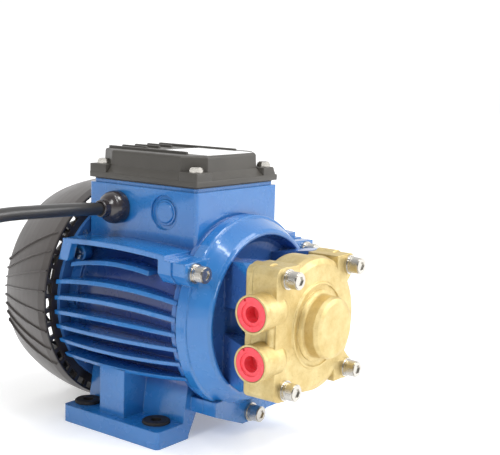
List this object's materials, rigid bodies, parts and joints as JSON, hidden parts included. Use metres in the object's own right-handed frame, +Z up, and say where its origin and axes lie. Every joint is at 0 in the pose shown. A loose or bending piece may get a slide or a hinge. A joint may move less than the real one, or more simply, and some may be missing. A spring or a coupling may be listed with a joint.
{
  "type": "coolant circulation pump",
  "caption": "Foot-mounted electric circulation pump with a finned blue motor, a brass pump head with two side ports, a terminal box and a supply cord.",
  "frame": {"origin": "centre of the four foot bolt holes, on the mounting plane under the feet", "axes": "+Z up from the mounting plane, +Y along the shaft towards the fan, so the pump head faces -Y, and -X towards the side with both ports and the cord"},
  "size_m": [0.385, 0.246, 0.1761],
  "materials": {
    "blue_paint": "gloss enamel over cast aluminium",
    "cast_aluminium": "as cast and machined",
    "black_cover_plastic": "moulded, fine grain",
    "lid_plastic": "moulded, fine grain",
    "white_film": "smooth film",
    "black_rubber": "satin",
    "cord_rubber": "satin",
    "sand_cast_brass": "sand cast, fine grain",
    "machined_brass": "machined",
    "zinc_steel": "bright plated",
    "bare_steel": "ground",
    "lamination_steel": "stacked sheet",
    "copper_winding": "enamelled copper, bandaged",
    "red_plastic": "soft moulded",
    "board_plastic": "moulded",
    "fan_nylon": "natural nylon",
    "seal_ceramic": "fine ceramic",
    "seal_carbon": "carbon",
    "plate_steel": "thin bare sheet"
  },
  "bodies": {
    "pump": {"motor_housing": "blue_paint", "bearing_bracket": "blue_paint", "rear_end_shield": "cast_aluminium", "shield_screws": "zinc_steel", "fan_cover": "black_cover_plastic", "fan_cover_screws": "bare_steel", "terminal_lid": "lid_plastic", "lid_gasket": "black_rubber", "lid_screws": "zinc_steel", "lid_label_plate": "white_film", "cable_gland": "black_rubber", "terminal_board": "board_plastic", "terminal_studs": "machined_brass", "earth_screw": "zinc_steel", "stator_core": "lamination_steel", "stator_windings": "copper_winding", "front_bearing_outer": "bare_steel", "rear_bearing_outer": "bare_steel", "wave_washer": "bare_steel", "pump_back_plate": "sand_cast_brass", "pump_casing": "sand_cast_brass", "casing_seal_ring": "black_rubber", "casing_screws": "zinc_steel", "casing_flat_washers": "zinc_steel", "casing_spring_washers": "zinc_steel", "tie_screws": "zinc_steel", "tie_flat_washers": "zinc_steel", "tie_spring_washers": "zinc_steel", "seal_seat": "seal_ceramic", "foot_grommets": "black_rubber", "nameplate": "plate_steel", "nameplate_rivets": "machined_brass", "cord_lead": "cord_rubber", "cord_coil": "cord_rubber", "mains_plug": "black_rubber", "plug_pins": "zinc_steel"},
    "rotor": {"shaft": "bare_steel", "rotor_core": "lamination_steel", "rotor_end_rings": "cast_aluminium", "cooling_fan": "fan_nylon", "fan_circlip": "bare_steel", "front_bearing_inner": "bare_steel", "rear_bearing_inner": "bare_steel", "impeller": "machined_brass", "impeller_key": "bare_steel", "impeller_circlip": "bare_steel", "slinger": "black_rubber", "seal_rotating_ring": "seal_carbon"},
    "front_balls": {"front_bearing_balls": "bare_steel"},
    "rear_balls": {"rear_bearing_balls": "bare_steel"},
    "upper_port_plug": {"port_plug_upper": "red_plastic"},
    "lower_port_plug": {"port_plug_lower": "red_plastic"}
  },
  "joints": [
    {"name": "rotor_spin", "type": "hinge", "parent": "pump", "child": "rotor", "pos_m": [0, 0, 0.0775], "axis": [0, 1, 0], "continuous": true},
    {"name": "front_balls_spin", "type": "hinge", "parent": "pump", "child": "front_balls", "pos_m": [0, 0, 0.0775], "axis": [0, 1, 0], "continuous": true},
    {"name": "rear_balls_spin", "type": "hinge", "parent": "pump", "child": "rear_balls", "pos_m": [0, 0, 0.0775], "axis": [0, 1, 0], "continuous": true},
    {"name": "upper_plug_pull", "type": "slide", "parent": "pump", "child": "upper_port_plug", "axis": [-1, 0, 0], "range_m": [0, 0.03]},
    {"name": "lower_plug_pull", "type": "slide", "parent": "pump", "child": "lower_port_plug", "axis": [-1, 0, 0], "range_m": [0, 0.03]}
  ],
  "couplings": [
    {"joint": "front_balls_spin", "follows": "rotor_spin", "ratio": 0.382},
    {"joint": "rear_balls_spin", "follows": "rotor_spin", "ratio": 0.366}
  ]
}
